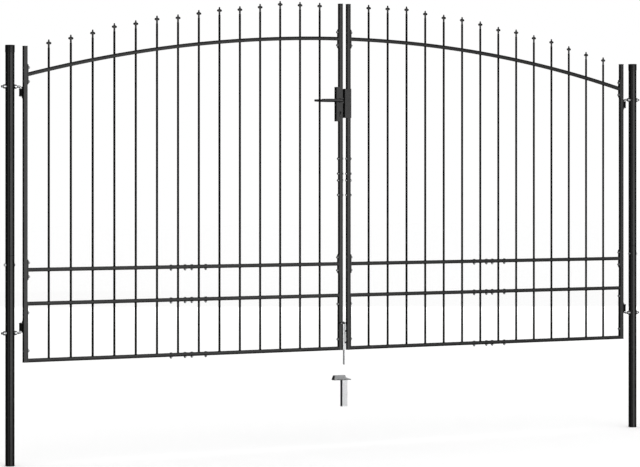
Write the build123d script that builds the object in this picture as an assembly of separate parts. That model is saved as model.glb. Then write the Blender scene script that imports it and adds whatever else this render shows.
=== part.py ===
from build123d import *
from itertools import accumulate
import os

# Posts, in millimetres: round steel tubes in two sections, joined over a sleeve
post_spacing = 3952
post_diameter = 48
post_wall = 3
post_height = 2191
post_joint_height = 1095
cap_wall = 1
cap_top = 3
cap_skirt = 36

# Frame of a leaf: square tubes for the stiles, and rails that their end plates close
leaf_bottom = 535
hinge_stile_top = 2188
meeting_stile_top = 2479
stile_width = 22
stile_wall = 2
stile_joint_height = 1506
hinge_gap = 48
meeting_gap = 28
rail_width = 20
lower_rail_height = 842
upper_rail_height = 1019
arch_crown_height = 2282
arch_radius = 7400
plug_cap_top = 3
plug_cap_depth = 14
plug_cap_wall = 1.5

# Plates that close the rails' ends and bolt to the stiles
end_plate_thickness = 5
end_plate_height = 108
end_plate_bevel = 4
foot_plate_thickness = 3

# Bars and their spear heads, drawn with few sides because there are many; each step
# is how much lower a tip stands than the one before it, from the meeting stile outwards
bar_diameter = 12
bar_sides = 8
end_bar_distance = 120.25
highest_tip = 2480
tip_steps = (0, 0, 20, 18, 9, 21, 28, 11, 29, 20, 38, 31, 29)
head_height = 46
head_width = 30
head_thickness = 9
head_face_scale = 0.62
head_neck_width = 10
head_neck_height = 14
head_lobe_height = 26
head_lobe_flat = 7
head_waist_width = 10
head_waist_height = 36
head_point_width = 8
head_point_height = 43

# Hinges: a rod through the post with a pin at its end, and a barrel welded to the stile
pin_diameter = 12
pin_rod_gap = 4
pin_axis_distance = 59
pin_thread_reach = 24
pin_end_reach = 3
upper_barrel_bottom = 1925
upper_barrel_top = 1964
lower_barrel_bottom = 701
lower_barrel_top = 742
barrel_diameter = 17
barrel_web_thickness = 8
barrel_pad_height = 64
barrel_pad_width = 16
barrel_pad_thickness = 4
barrel_pad_bevel = 3

# Lock on the left meeting stile and the keep on the right one
spindle_height = 1935
lock_above_spindle = 76
lock_below_spindle = 117
lock_width = 41
lock_depth = 26
lock_setback = 2
case_edge_bevel = 2
spindle_width = 8
spindle_setback = 16
spindle_hole_diameter = 13
lever_neck_diameter = 16
lever_length = 135
lever_root_height = 14
lever_middle_height = 16
lever_tip_height = 13
lever_thickness = 9
lever_standoff = 36
cylinder_distance = 66
cylinder_barrel_diameter = 17
cylinder_leg_width = 10
cylinder_leg_length = 24
cylinder_proud = 2
keep_above_spindle = 67
keep_below_spindle = 97
keep_reach = 16
keep_wall = 3
tongue_height = 28
tongue_thickness = 12
tongue_proud = 8
tongue_bevel = 6

# Drop bolt on the left meeting stile, over the socket in the ground
guide_bottom = 536
guide_top = 683
guide_width = 17.5
guide_depth = 16
guide_proud = 2
guide_wall = 2
guide_end_thickness = 3
guide_notch_height = 641
guide_notch_depth = 5
bolt_rod_diameter = 11
bolt_rod_bottom = 453
bolt_rod_top = 695
bolt_rod_point = 3
bolt_arm_diameter = 8
bolt_arm_rise = 4
bolt_arm_reach = 24
bolt_arm_length = 22
bolt_knob_diameter = 11
bolt_knob_length = 9
bolt_travel = 110

# Ground socket under the drop bolt: a stop block and a ramp with the bolt's mouth, on a tube
socket_base_height = 368
socket_block_length = 74
socket_block_height = 26
socket_block_slope = 6
socket_block_lip = 4
socket_base_depth = 36
socket_crown_depth = 20
socket_ramp_length = 34
socket_ramp_top = 14
socket_ramp_drop = 2
socket_plate_thickness = 2
socket_tube_width = 32
socket_tube_depth = 25
socket_tube_wall = 2.5
socket_tube_bottom = 219
socket_mouth_width = 14

# Clearances between pieces that fit together
slip_clearance = 0.3
running_clearance = 0.08
bar_clearance = 0.25
moving_clearance = 5

# Values that follow from the sizes above
mid_x = post_spacing / 2
tube_top = post_height - cap_top
hinge_stile_x = post_diameter / 2 + hinge_gap + stile_width / 2
meeting_stile_x = mid_x - meeting_gap / 2 - stile_width / 2
inner_start = hinge_stile_x + stile_width / 2
inner_end = meeting_stile_x - stile_width / 2
rail_joint_x = (inner_start + inner_end) / 2
bottom_rail_height = leaf_bottom + rail_width / 2
bar_foot = leaf_bottom + rail_width
bar_count = len(tip_steps) + 1
bar_pitch = (inner_end - inner_start - 2 * end_bar_distance) / (bar_count - 1)
barrel_bore = pin_diameter / 2 + running_clearance
pin_rod_distance = pin_diameter / 2 + pin_rod_gap
lock_right = mid_x - meeting_gap / 2 - lock_setback
spindle_x = lock_right - spindle_setback
lock_top = spindle_height + lock_above_spindle
lock_bottom = spindle_height - lock_below_spindle
keep_top = spindle_height + keep_above_spindle
keep_bottom = spindle_height - keep_below_spindle
cylinder_height = spindle_height - cylinder_distance
guide_x = mid_x - meeting_gap / 2 + guide_width / 2
guide_front = -stile_width / 2 - guide_proud
bolt_y = guide_front + guide_depth / 2
bolt_arm_height = guide_top + bolt_arm_rise
bolt_arm_lowest = bolt_arm_height - bolt_travel
bolt_rod_bore = bolt_rod_diameter / 2 + running_clearance


def span(x0, x1, y0, y1, z0, z1):
    """A box between two corners."""
    centre = Location(((x0 + x1) / 2, (y0 + y1) / 2, (z0 + z1) / 2))
    return centre * Box(x1 - x0, y1 - y0, z1 - z0)


def beam_x(x0, x1, z, width):
    """A square bar along X, centred on the gate's plane."""
    return span(x0, x1, -width / 2, width / 2, z - width / 2, z + width / 2)


def beam_z(x, z0, z1, width):
    """A square bar along Z, centred on the gate's plane."""
    return span(x - width / 2, x + width / 2, -width / 2, width / 2, z0, z1)


def rod_z(x, y, z0, z1, radius):
    """A round bar along Z."""
    return Location((x, y, (z0 + z1) / 2)) * Cylinder(radius, z1 - z0)


def rod_y(x, z, y0, y1, radius):
    """A round bar along Y."""
    return Location((x, (y0 + y1) / 2, z), (90, 0, 0)) * Cylinder(radius, y1 - y0)


def rod_x(z, x0, x1, radius):
    """A round bar along X, in the gate's plane."""
    return Location(((x0 + x1) / 2, 0, z), (0, 90, 0)) * Cylinder(radius, x1 - x0)


def square_tube_z(x, z0, z1, width, wall):
    """A square tube along Z with open ends."""
    return beam_z(x, z0, z1, width) - beam_z(x, z0, z1, width - 2 * wall)


def round_tube_z(x, z0, z1, radius, wall):
    """A round tube along Z with open ends."""
    return rod_z(x, 0, z0, z1, radius) - rod_z(x, 0, z0, z1, radius - wall)


def bar_positions():
    """The bars' places along a leaf, from the hinge stile to the meeting stile."""
    first = inner_start + end_bar_distance
    return [first + number * bar_pitch for number in range(bar_count)]


def tip_heights():
    """The tips' heights in the same order: the highest ones stand by the meeting stile."""
    drops = [0, *accumulate(tip_steps)]
    return [highest_tip - drop for drop in reversed(drops)]


def bar_holes(x0, x1, z0, z1):
    """Holes for the bars that pass a rail between x0 and x1, with the bars' number of sides."""
    outline = RegularPolygon(bar_diameter / 2 + bar_clearance, bar_sides)
    places = [x for x in bar_positions() if x0 < x < x1]
    return [Location((x, 0, z0)) * extrude(outline, z1 - z0) for x in places]


def arch_height(x):
    """Height of the arch's centre line above the posts' feet."""
    centre_z = arch_crown_height - arch_radius
    return centre_z + (arch_radius**2 - (x - mid_x) ** 2) ** 0.5


def pin_hole(height):
    """A hole for a hinge pin's rod, which goes through both walls of a post."""
    outline = RegularPolygon(pin_diameter / 2 + slip_clearance, bar_sides, major_radius=False)
    return Location((-post_diameter, 0, height), (0, 90, 0)) * extrude(outline, 2 * post_diameter)


def post_lower():
    """The lower section of the left post, drilled for the lower hinge pin."""
    tube = round_tube_z(0, 0, post_joint_height, post_diameter / 2, post_wall)
    return tube - pin_hole(lower_pin_height())


def post_upper():
    """The upper section of the left post, drilled for the upper hinge pin."""
    tube = round_tube_z(0, post_joint_height, tube_top, post_diameter / 2, post_wall)
    return tube - pin_hole(upper_pin_height())


def post_cap():
    """The cap that slips over a post's top."""
    inner = post_diameter / 2 + slip_clearance
    outer = inner + cap_wall
    body = rod_z(0, 0, tube_top - cap_skirt, post_height, outer)
    return body - rod_z(0, 0, tube_top - cap_skirt, tube_top, inner)


def upper_pin_height():
    """The upper hinge pin points down, from a rod above its barrel."""
    return upper_barrel_top + pin_rod_distance


def lower_pin_height():
    """The lower hinge pin points up, from a rod below its barrel."""
    return lower_barrel_bottom - pin_rod_distance


def hinge_pin(rod_height, pin_end):
    """A rod through the post, with a pin across its end that runs into the barrel."""
    radius = pin_diameter / 2
    rod = rod_x(rod_height, -post_diameter / 2 - pin_thread_reach, pin_axis_distance, radius)
    outer_end = rod_height + radius if pin_end < rod_height else rod_height - radius
    low, high = sorted((outer_end, pin_end))
    return rod + rod_z(pin_axis_distance, 0, low, high, radius)


def hinge_barrel(bottom, top):
    """A barrel welded to the stile through a web and a pad with sloping ends."""
    stile_face = hinge_stile_x - stile_width / 2
    middle = (bottom + top) / 2
    half = barrel_pad_height / 2
    depth = barrel_pad_width / 2
    pad = span(stile_face - barrel_pad_thickness, stile_face, -depth, depth, middle - half, middle + half)
    ends = pad.edges().filter_by(Axis.Y).group_by(Axis.X)[0]
    pad = chamfer(ends, barrel_pad_bevel)
    body = rod_z(pin_axis_distance, 0, bottom, top, barrel_diameter / 2)
    half_web = barrel_web_thickness / 2
    body += span(pin_axis_distance, stile_face, -half_web, half_web, bottom, top)
    body += pad
    return body - rod_z(pin_axis_distance, 0, bottom, top, barrel_bore)


def hinge_stile():
    """The square tube that carries the barrels."""
    low = leaf_bottom + plug_cap_top
    high = hinge_stile_top - plug_cap_top
    return square_tube_z(hinge_stile_x, low, high, stile_width, stile_wall)


def meeting_stile_lower():
    """The meeting stile's lower section."""
    low = leaf_bottom + plug_cap_top
    return square_tube_z(meeting_stile_x, low, stile_joint_height, stile_width, stile_wall)


def meeting_stile_upper():
    """The meeting stile's upper section."""
    high = meeting_stile_top - plug_cap_top
    return square_tube_z(meeting_stile_x, stile_joint_height, high, stile_width, stile_wall)


def spindle_hole():
    """A hole for the lock's spindle through the case and the stile."""
    outline = RegularPolygon(spindle_hole_diameter / 2, bar_sides)
    place = Location((spindle_x, lock_depth, spindle_height), (90, 0, 0))
    return place * extrude(outline, 2 * lock_depth)


def lock_stile_upper():
    """The upper section with the holes for the lock's spindle and key cylinder."""
    return meeting_stile_upper() - spindle_hole() - cylinder_form(stile_width, slip_clearance)


def plug_cap(x, z, inwards):
    """A plug with a flat head that closes a stile's end; inwards is 1 at the foot and -1 at the top."""
    seat = z + inwards * plug_cap_top
    end = seat + inwards * plug_cap_depth
    head = beam_z(x, min(z, seat), max(z, seat), stile_width)
    inner = stile_width - 2 * (stile_wall + slip_clearance)
    plug = square_tube_z(x, min(seat, end), max(seat, end), inner, plug_cap_wall)
    return head + plug


def stile_caps():
    """The four plugs of a leaf's stiles."""
    return [
        plug_cap(hinge_stile_x, leaf_bottom, 1),
        plug_cap(hinge_stile_x, hinge_stile_top, -1),
        plug_cap(meeting_stile_x, leaf_bottom, 1),
        plug_cap(meeting_stile_x, meeting_stile_top, -1),
    ]


def rail_half(x0, x1, z, drilled=True):
    """Half of a rail, from its end plate to the joint at the middle of the leaf."""
    rail = beam_x(x0, x1, z, rail_width)
    if not drilled:
        return rail
    for hole in bar_holes(x0, x1, z - rail_width, z + rail_width):
        rail -= hole
    return rail


def arch_stations():
    """Places along the arch: its two ends and the middles between neighbouring bars."""
    places = bar_positions()
    middles = [(a + b) / 2 for a, b in zip(places, places[1:])]
    return [inner_start + end_plate_thickness, *middles, inner_end - end_plate_thickness]


def arch():
    """The arched top rail: a square bar on a large radius, in chords between the bars' holes."""
    top = []
    bottom = []
    for x in arch_stations():
        cosine = (arch_radius**2 - (x - mid_x) ** 2) ** 0.5 / arch_radius
        rise = rail_width / 2 / cosine
        top.append((x, arch_height(x) + rise))
        bottom.append((x, arch_height(x) - rise))
    outline = make_face(Polyline(*top, *reversed(bottom), close=True))
    bent = Plane.XZ * extrude(outline, rail_width / 2, both=True)
    low = arch_height(inner_start) - rail_width
    for hole in bar_holes(inner_start, inner_end, low, arch_crown_height + rail_width):
        bent -= hole
    return bent


def end_plate(stile_face, inwards, height):
    """A plate on a stile's inner face with sloping ends; inwards is 1 or -1 along X."""
    half = end_plate_height / 2
    width = rail_width / 2
    x0, x1 = sorted((stile_face, stile_face + inwards * end_plate_thickness))
    plate = span(x0, x1, -width, width, height - half, height + half)
    edges = plate.edges().filter_by(Axis.Y).sort_by(Axis.X)
    inner = edges[-2:] if inwards > 0 else edges[:2]
    return chamfer(inner, end_plate_bevel)


def foot_plate(stile_face, inwards):
    """The thin plate that runs from the bottom rail to the lower rail."""
    x0, x1 = sorted((stile_face, stile_face + inwards * foot_plate_thickness))
    return span(x0, x1, -rail_width / 2, rail_width / 2, leaf_bottom, lower_rail_height + rail_width / 2)


def end_plates():
    """The plates at the ends of the arch, of the upper rail, and of the two low rails together."""
    plates = []
    for face, inwards in ((inner_start, 1), (inner_end, -1)):
        middle = face + inwards * end_plate_thickness
        plates.append(end_plate(face, inwards, arch_height(middle)))
        plates.append(end_plate(face, inwards, upper_rail_height))
        plates.append(foot_plate(face, inwards))
    return plates


def bars():
    """The upright bars, standing on the bottom rail."""
    outline = RegularPolygon(bar_diameter / 2, bar_sides)
    pairs = zip(bar_positions(), tip_heights())
    return [Location((x, 0, bar_foot)) * extrude(outline, tip - head_height - bar_foot) for x, tip in pairs]


def spear_outline(y, scale):
    """Corners of a head scaled about its foot: neck, blunt lobes, waist and point."""
    half_flat = head_lobe_flat / 2
    right = [
        (head_neck_width / 2, 0),
        (head_neck_width / 2, head_neck_height),
        (head_width / 2, head_lobe_height - half_flat),
        (head_width / 2, head_lobe_height + half_flat),
        (head_waist_width / 2, head_waist_height),
        (head_point_width / 2, head_point_height),
    ]
    left = [(-x, z) for x, z in reversed(right)]
    return [(x * scale, y, z * scale) for x, z in (*right, (0, head_height), *left)]


def spear_head():
    """A forged head with flat slopes from its thick middle to its edges and its point."""
    edge = spear_outline(0, 1)
    faces = []
    for y in (-head_thickness / 2, head_thickness / 2):
        raised = spear_outline(y, head_face_scale)
        faces.append(Face(Wire.make_polygon(raised, close=True)))
        for i in range(len(edge)):
            corners = [edge[i - 1], edge[i], raised[i], raised[i - 1]]
            faces.append(Face(Wire.make_polygon(corners, close=True)))
    return Solid(Shell(faces))


def spear_heads():
    """One head on the top of each bar."""
    head = spear_head()
    places = zip(bar_positions(), tip_heights())
    return [Location((x, 0, tip - head_height)) * head for x, tip in places]


def lock_case():
    """The lock's case, wrapped round the front, the back and the inner side of the stile."""
    x0 = lock_right - lock_width
    half = lock_depth / 2
    case = span(x0, lock_right, -half, half, lock_bottom, lock_top)
    case = chamfer(case.edges().filter_by(Axis.Z).group_by(Axis.X)[0], case_edge_bevel)
    channel = stile_width / 2 + slip_clearance
    stile_side = meeting_stile_x - channel
    case -= span(stile_side, lock_right, -channel, channel, lock_bottom, lock_top)
    return case - spindle_hole() - cylinder_form(half, slip_clearance)


def lever(side):
    """A lever handle with its round neck; side is -1 in front and 1 behind."""
    face = side * (lock_depth / 2 + slip_clearance)
    outer = face + side * lever_standoff
    y0, y1 = sorted((face, outer))
    neck = rod_y(spindle_x, spindle_height, y0, y1, lever_neck_diameter / 2)
    root = lever_root_height / 2
    middle = lever_middle_height / 2
    tip = lever_tip_height / 2
    end = -lever_length + tip
    outline = [
        Line((0, -root), (0, root)),
        ThreePointArc((0, root), (end / 2, middle), (end, tip)),
        ThreePointArc((end, tip), (-lever_length, 0), (end, -tip)),
        ThreePointArc((end, -tip), (end / 2, -middle), (0, -root)),
    ]
    y0, y1 = sorted((outer, outer - side * lever_thickness))
    place = Plane(origin=(spindle_x, y1, spindle_height), x_dir=(1, 0, 0), z_dir=(0, -1, 0))
    return neck + place * extrude(make_face(outline), y1 - y0)


def lock_spindle():
    """The square bar between the levers' necks."""
    half = lock_depth / 2 + slip_clearance
    width = spindle_width / 2
    return span(
        spindle_x - width,
        spindle_x + width,
        -half,
        half,
        spindle_height - width,
        spindle_height + width,
    )


def cylinder_form(half, margin):
    """The key cylinder's shape, a round barrel with a leg below it, grown by a margin."""
    radius = cylinder_barrel_diameter / 2 + margin
    barrel = rod_y(spindle_x, cylinder_height, -half, half, radius)
    leg = cylinder_leg_width / 2 + margin
    foot = cylinder_height - cylinder_leg_length - margin
    return barrel + span(spindle_x - leg, spindle_x + leg, -half, half, foot, cylinder_height)


def lock_cylinder():
    """The key cylinder, which passes through the case from front to back."""
    return cylinder_form(lock_depth / 2 + cylinder_proud, 0)


def lock_keep():
    """The keep on the right meeting stile, with a pocket for the latch tongue."""
    stile_centre = 2 * mid_x - meeting_stile_x
    left = stile_centre - stile_width / 2 - keep_reach
    right = stile_centre + stile_width / 2 + lock_setback
    half = lock_depth / 2
    keep = span(left, right, -half, half, keep_bottom, keep_top)
    channel = stile_width / 2 + slip_clearance
    keep -= span(stile_centre - channel, right, -channel, channel, keep_bottom, keep_top)
    pocket = tongue_thickness / 2 + moving_clearance
    low = spindle_height - tongue_height / 2 - moving_clearance
    high = spindle_height + tongue_height / 2 + moving_clearance
    floor = stile_centre - channel - keep_wall
    return keep - span(left, floor, -pocket, pocket, low, high)


def latch_tongue():
    """The bevelled tongue that stands out of the lock towards the keep."""
    face = mid_x - meeting_gap / 2
    half = tongue_thickness / 2
    low = spindle_height - tongue_height / 2
    high = spindle_height + tongue_height / 2
    tongue = span(face, face + tongue_proud, -half, half, low, high)
    edge = tongue.edges().filter_by(Axis.Z).group_by(Axis.X)[-1].sort_by(Axis.Y)[-1]
    return chamfer(edge, tongue_bevel)


def drop_bolt_guide():
    """A channel on the stile's edge, slotted in front, with a notch at each of two heights."""
    x0 = guide_x - guide_width / 2
    x1 = guide_x + guide_width / 2
    back = guide_front + guide_depth
    guide = span(x0, x1, guide_front, back, guide_bottom, guide_top)
    low = guide_bottom + guide_end_thickness
    high = guide_top - guide_end_thickness
    web = guide_front + guide_wall
    guide -= span(x0 + guide_wall, x1 - guide_wall, web, back, low, high)
    slot = bolt_arm_diameter / 2 + slip_clearance
    slot_bottom = bolt_arm_lowest - slot
    guide -= span(guide_x - slot, guide_x + slot, guide_front, bolt_y, slot_bottom, guide_top)
    for height in (guide_notch_height, bolt_arm_lowest):
        side = slot + guide_notch_depth
        guide -= span(guide_x, guide_x + side, guide_front, web, height - slot, height + slot)
    return guide - rod_z(guide_x, bolt_y, guide_bottom, guide_top, bolt_rod_bore)


def drop_bolt_rod():
    """The bolt's rod, with an arm through the slot that ends in a knob before the stile."""
    rod = rod_z(guide_x, bolt_y, bolt_rod_bottom, bolt_rod_top, bolt_rod_diameter / 2)
    rod = chamfer(rod.edges().group_by(Axis.Z)[0], bolt_rod_point)
    outline = RegularPolygon(bolt_arm_diameter / 2, bar_sides)
    reach = bolt_arm_reach + bolt_arm_diameter / 2 + bolt_y
    arm = Location((guide_x, bolt_y, bolt_arm_height), (90, 0, 0)) * extrude(outline, reach)
    front = Location((guide_x, -bolt_arm_reach, bolt_arm_height), (0, -90, 0))
    leg = front * extrude(outline, bolt_arm_length)
    knob_end = guide_x - bolt_arm_length
    knob = rod_x(bolt_arm_height, knob_end - bolt_knob_length, knob_end, bolt_knob_diameter / 2)
    knob = Location((0, -bolt_arm_reach, 0)) * knob
    return rod + arm + leg + knob


def socket_plate():
    """The stop block with sloping sides, and the ramp; the bolt's mouth runs down through both."""
    base = socket_base_height
    mouth = socket_mouth_width / 2
    block_right = guide_x + socket_block_lip
    left = block_right - socket_block_length
    right = block_right + socket_ramp_length
    top = base + socket_block_height
    profile = Polyline(
        (left, base),
        (left + socket_block_slope, top),
        (block_right, top),
        (block_right + socket_ramp_drop, base + socket_ramp_top),
        (right, base + socket_plate_thickness),
        (right, base),
        close=True,
    )
    depth = socket_base_depth / 2
    crown = socket_crown_depth / 2
    ends = Polyline(
        (bolt_y - depth, base),
        (bolt_y + depth, base),
        (bolt_y + crown, top),
        (bolt_y - crown, top),
        close=True,
    )
    plate = Plane.XZ * extrude(make_face(profile), 2 * socket_base_depth, both=True)
    plate &= Plane.YZ.offset(left) * extrude(make_face(ends), right - left)
    return plate - span(guide_x - mouth, guide_x + mouth, bolt_y - mouth, bolt_y + mouth, base, top)


def socket_tube():
    """The rectangular tube below the ramp, around the bolt's path."""
    width = socket_tube_width / 2
    depth = socket_tube_depth / 2
    low = socket_tube_bottom
    high = socket_base_height
    tube = span(guide_x - width, guide_x + width, bolt_y - depth, bolt_y + depth, low, high)
    width -= socket_tube_wall
    depth -= socket_tube_wall
    return tube - span(guide_x - width, guide_x + width, bolt_y - depth, bolt_y + depth, low, high)


def mirrored(piece):
    """The same piece on the other side of the gate's middle."""
    return mirror(piece, about=Plane(origin=(mid_x, 0, 0), z_dir=(1, 0, 0)))


def paired_pieces():
    """Every piece of the left side, by name; the right side has their mirror images."""
    rail_start = inner_start + foot_plate_thickness
    rail_end = inner_end - foot_plate_thickness
    upper_start = inner_start + end_plate_thickness
    upper_end = inner_end - end_plate_thickness
    return {
        "post_lower": post_lower(),
        "post_upper": post_upper(),
        "hinge_pins": [
            hinge_pin(upper_pin_height(), upper_barrel_bottom - pin_end_reach),
            hinge_pin(lower_pin_height(), lower_barrel_top + pin_end_reach),
        ],
        "hinge_barrels": [
            hinge_barrel(upper_barrel_bottom, upper_barrel_top),
            hinge_barrel(lower_barrel_bottom, lower_barrel_top),
        ],
        "hinge_stile": hinge_stile(),
        "meeting_stile_lower": meeting_stile_lower(),
        "stile_caps": stile_caps(),
        "arch": arch(),
        "upper_rail": [
            rail_half(upper_start, rail_joint_x, upper_rail_height),
            rail_half(rail_joint_x, upper_end, upper_rail_height),
        ],
        "lower_rail": [
            rail_half(rail_start, rail_joint_x, lower_rail_height),
            rail_half(rail_joint_x, rail_end, lower_rail_height),
        ],
        "bottom_rail": [
            rail_half(rail_start, rail_joint_x, bottom_rail_height, drilled=False),
            rail_half(rail_joint_x, rail_end, bottom_rail_height, drilled=False),
        ],
        "end_plates": end_plates(),
        "bars": bars(),
        "spear_heads": spear_heads(),
    }


def single_pieces():
    """The pieces that only one leaf has, the caps and the socket between the leaves."""
    return {
        "post_caps": [post_cap(), mirrored(post_cap())],
        "left_meeting_stile_upper": lock_stile_upper(),
        "right_meeting_stile_upper": mirrored(meeting_stile_upper()),
        "lock_case": lock_case(),
        "lock_cylinder": lock_cylinder(),
        "lock_spindle": lock_spindle(),
        "lever_front": lever(-1),
        "lever_back": lever(1),
        "latch_tongue": latch_tongue(),
        "lock_keep": lock_keep(),
        "drop_bolt_guide": drop_bolt_guide(),
        "drop_bolt_rod": drop_bolt_rod(),
        "socket_plate": socket_plate(),
        "socket_tube": socket_tube(),
    }


def save(name, pieces):
    """Write one node; like pieces that don't touch share it."""
    group = pieces if isinstance(pieces, list) else [pieces]
    solids = [solid for piece in group for solid in piece.solids()]
    export_step(Compound(children=solids), f"parts/{name}.step")


os.makedirs("parts", exist_ok=True)
for name, pieces in paired_pieces().items():
    group = pieces if isinstance(pieces, list) else [pieces]
    save(f"left_{name}", group)
    save(f"right_{name}", [mirrored(piece) for piece in group])
for name, pieces in single_pieces().items():
    save(name, pieces)
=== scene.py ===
import math

import bpy
import numpy as np
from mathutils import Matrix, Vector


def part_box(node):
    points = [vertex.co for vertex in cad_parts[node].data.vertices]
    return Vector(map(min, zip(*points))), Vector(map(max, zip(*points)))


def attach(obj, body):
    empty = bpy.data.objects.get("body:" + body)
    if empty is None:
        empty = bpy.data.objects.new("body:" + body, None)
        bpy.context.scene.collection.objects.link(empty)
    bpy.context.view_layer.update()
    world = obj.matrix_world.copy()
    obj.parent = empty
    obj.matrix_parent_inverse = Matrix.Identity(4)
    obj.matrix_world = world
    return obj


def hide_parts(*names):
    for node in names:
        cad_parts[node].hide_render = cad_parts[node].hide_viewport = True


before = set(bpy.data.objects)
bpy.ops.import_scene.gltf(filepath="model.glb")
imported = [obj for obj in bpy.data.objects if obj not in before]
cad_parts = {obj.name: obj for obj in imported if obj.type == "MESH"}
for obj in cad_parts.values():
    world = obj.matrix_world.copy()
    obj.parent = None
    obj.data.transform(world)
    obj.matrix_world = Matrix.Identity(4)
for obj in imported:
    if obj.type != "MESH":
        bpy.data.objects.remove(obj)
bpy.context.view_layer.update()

# Everything is in metres in the frame of the CAD part; the left leaf is made and then mirrored.
gateMiddle = sum(corner[0] for corner in (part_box("left_post_lower")[0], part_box("right_post_lower")[1])) / 2


# shapes: a shape is (points, faces), points an array of places, faces a list of index rows
def ringFaces(rows, columns):
    # quads between ring r and ring r+1, the last column joined to the first, plus one flat face at each end
    row, column = np.meshgrid(np.arange(rows - 1), np.arange(columns), indexing="ij")
    following = (column + 1) % columns
    quads = np.stack(
        [row * columns + column, row * columns + following,
         (row + 1) * columns + following, (row + 1) * columns + column], axis=-1)
    ends = [list(range(columns))[::-1], list(range((rows - 1) * columns, rows * columns))]
    return quads.reshape(-1, 4).tolist() + ends


def outwards(points, faces):
    # signed volume: the sum over the triangles of a face fan of (a x b) . c / 6; negative means inside out
    fans = [(face[0], face[i], face[i + 1]) for face in faces for i in range(1, len(face) - 1)]
    a, b, c = (points[np.array(fans)[:, i]] for i in range(3))
    volume = np.einsum("ij,ij->i", np.cross(a, b), c).sum()
    return (points, faces) if volume > 0 else (points, [face[::-1] for face in faces])


def loft(rings):
    # a closed body through rings of the same number of points, with flat ends
    rings = np.asarray(rings, dtype=float)
    rows, columns = rings.shape[:2]
    return outwards(rings.reshape(-1, 3), ringFaces(rows, columns))


def sweep(path, section, normal):
    # point = path + a * (tangent x normal) + b * normal, with (a, b) from the section; the section is one for
    # the whole path, or one per station
    path = np.asarray(path, dtype=float)
    section = np.asarray(section, dtype=float)
    if section.ndim == 2:
        section = np.broadcast_to(section, (len(path), *section.shape))
    tangent = np.gradient(path, axis=0)
    tangent /= np.linalg.norm(tangent, axis=1, keepdims=True)
    normal = np.asarray(normal, dtype=float)
    side = np.cross(tangent, normal)
    rings = path[:, None] + section[..., :1] * side[:, None] + section[..., 1:] * normal
    return loft(rings)


def revolve(profile, centre, axis, segments=32):
    # point = centre + height * axis + radius * (cos * u + sin * v), for profile rows (radius, height)
    axis = np.asarray(axis, dtype=float)
    axis /= np.linalg.norm(axis)
    askew = (0.31, 0.57, 0.76)  # a direction that no axis here has, from which u and v are found
    u = np.cross(axis, askew)
    u /= np.linalg.norm(u)
    v = np.cross(axis, u)
    angle = np.linspace(0, 2 * math.pi, segments, endpoint=False)
    circle = np.cos(angle)[:, None] * u + np.sin(angle)[:, None] * v
    profile = np.asarray(profile, dtype=float)
    rings = np.asarray(centre) + profile[:, 1, None, None] * axis + profile[:, 0, None, None] * circle
    return loft(rings)


def roundedRectangle(width, height, radius, steps=4):
    # four quarter circles of the corner radius, each about its corner's own centre
    quarter = np.linspace(0, math.pi / 2, steps + 1)
    corners = []
    for turn, (sx, sy) in enumerate(((1, 1), (-1, 1), (-1, -1), (1, -1))):
        angle = quarter + turn * math.pi / 2
        centre = np.array([sx * (width / 2 - radius), sy * (height / 2 - radius)])
        corners.append(centre + radius * np.stack([np.cos(angle), np.sin(angle)], axis=1))
    return np.concatenate(corners)


def circleSection(radius, segments=24):
    # (radius * cos, radius * sin) at equal angles
    angle = np.linspace(0, 2 * math.pi, segments, endpoint=False)
    return radius * np.stack([np.cos(angle), np.sin(angle)], axis=1)


def join(shapes):
    # several shapes as one, their face rows moved on by the number of points before them
    points, faces, count = [], [], 0
    for shapePoints, shapeFaces in shapes:
        points.append(shapePoints)
        faces += [[index + count for index in face] for face in shapeFaces]
        count += len(shapePoints)
    return np.concatenate(points), faces


def mirrored(shape):
    # x becomes 2 * middle - x, and each face is turned round so that it still looks outwards
    points = shape[0] * [-1, 1, 1] + [2 * gateMiddle, 0, 0]
    return points, [face[::-1] for face in shape[1]]


def nodePoints(node):
    # all vertices of a CAD node as an array
    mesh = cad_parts[node].data
    flat = np.empty(3 * len(mesh.vertices), dtype=np.float32)
    mesh.vertices.foreach_get("co", flat)
    return flat.reshape(-1, 3).astype(float)


# materials, all on object coordinates
def startMaterial(name, metallic=0.0):
    # a new material with what the functions below need: its nodes, links, shader and object coordinates
    material = bpy.data.materials.new(name)
    material.use_nodes = True
    nodes, links = material.node_tree.nodes, material.node_tree.links
    shader = nodes["Principled BSDF"]
    shader.inputs["Metallic"].default_value = metallic
    coordinates = nodes.new("ShaderNodeTexCoord").outputs["Object"]
    return material, nodes, links, shader, coordinates


def noiseValue(nodes, links, coordinates, scale, detail):
    # a cloud of values from 0 to 1; scale is in waves per metre
    noise = nodes.new("ShaderNodeTexNoise")
    noise.inputs["Scale"].default_value = scale
    noise.inputs["Detail"].default_value = detail
    links.new(coordinates, noise.inputs["Vector"])
    return noise.outputs["Fac"]


def colourRamp(nodes, links, value, stops):
    # colour by value, even between the stops (position, colour)
    ramp = nodes.new("ShaderNodeValToRGB")
    elements = ramp.color_ramp.elements
    while len(elements) < len(stops):
        elements.new(0.5)
    for element, (position, colour) in zip(elements, stops):
        element.position = position
        element.color = (*colour, 1)
    links.new(value, ramp.inputs["Fac"])
    return ramp.outputs["Color"]


def mapped(nodes, links, value, low, high, fromLow=0.3, fromHigh=0.7):
    # low + (high - low) * (value - fromLow) / (fromHigh - fromLow)
    ranger = nodes.new("ShaderNodeMapRange")
    for socket, number in (("From Min", fromLow), ("From Max", fromHigh), ("To Min", low), ("To Max", high)):
        ranger.inputs[socket].default_value = number
    links.new(value, ranger.inputs["Value"])
    return ranger.outputs["Result"]


def addBump(nodes, links, shader, value, strength, distance):
    # the normal leans by the slope of value * distance, times the strength
    bump = nodes.new("ShaderNodeBump")
    bump.inputs["Strength"].default_value = strength
    bump.inputs["Distance"].default_value = distance
    links.new(value, bump.inputs["Height"])
    links.new(bump.outputs["Normal"], shader.inputs["Normal"])


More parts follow.
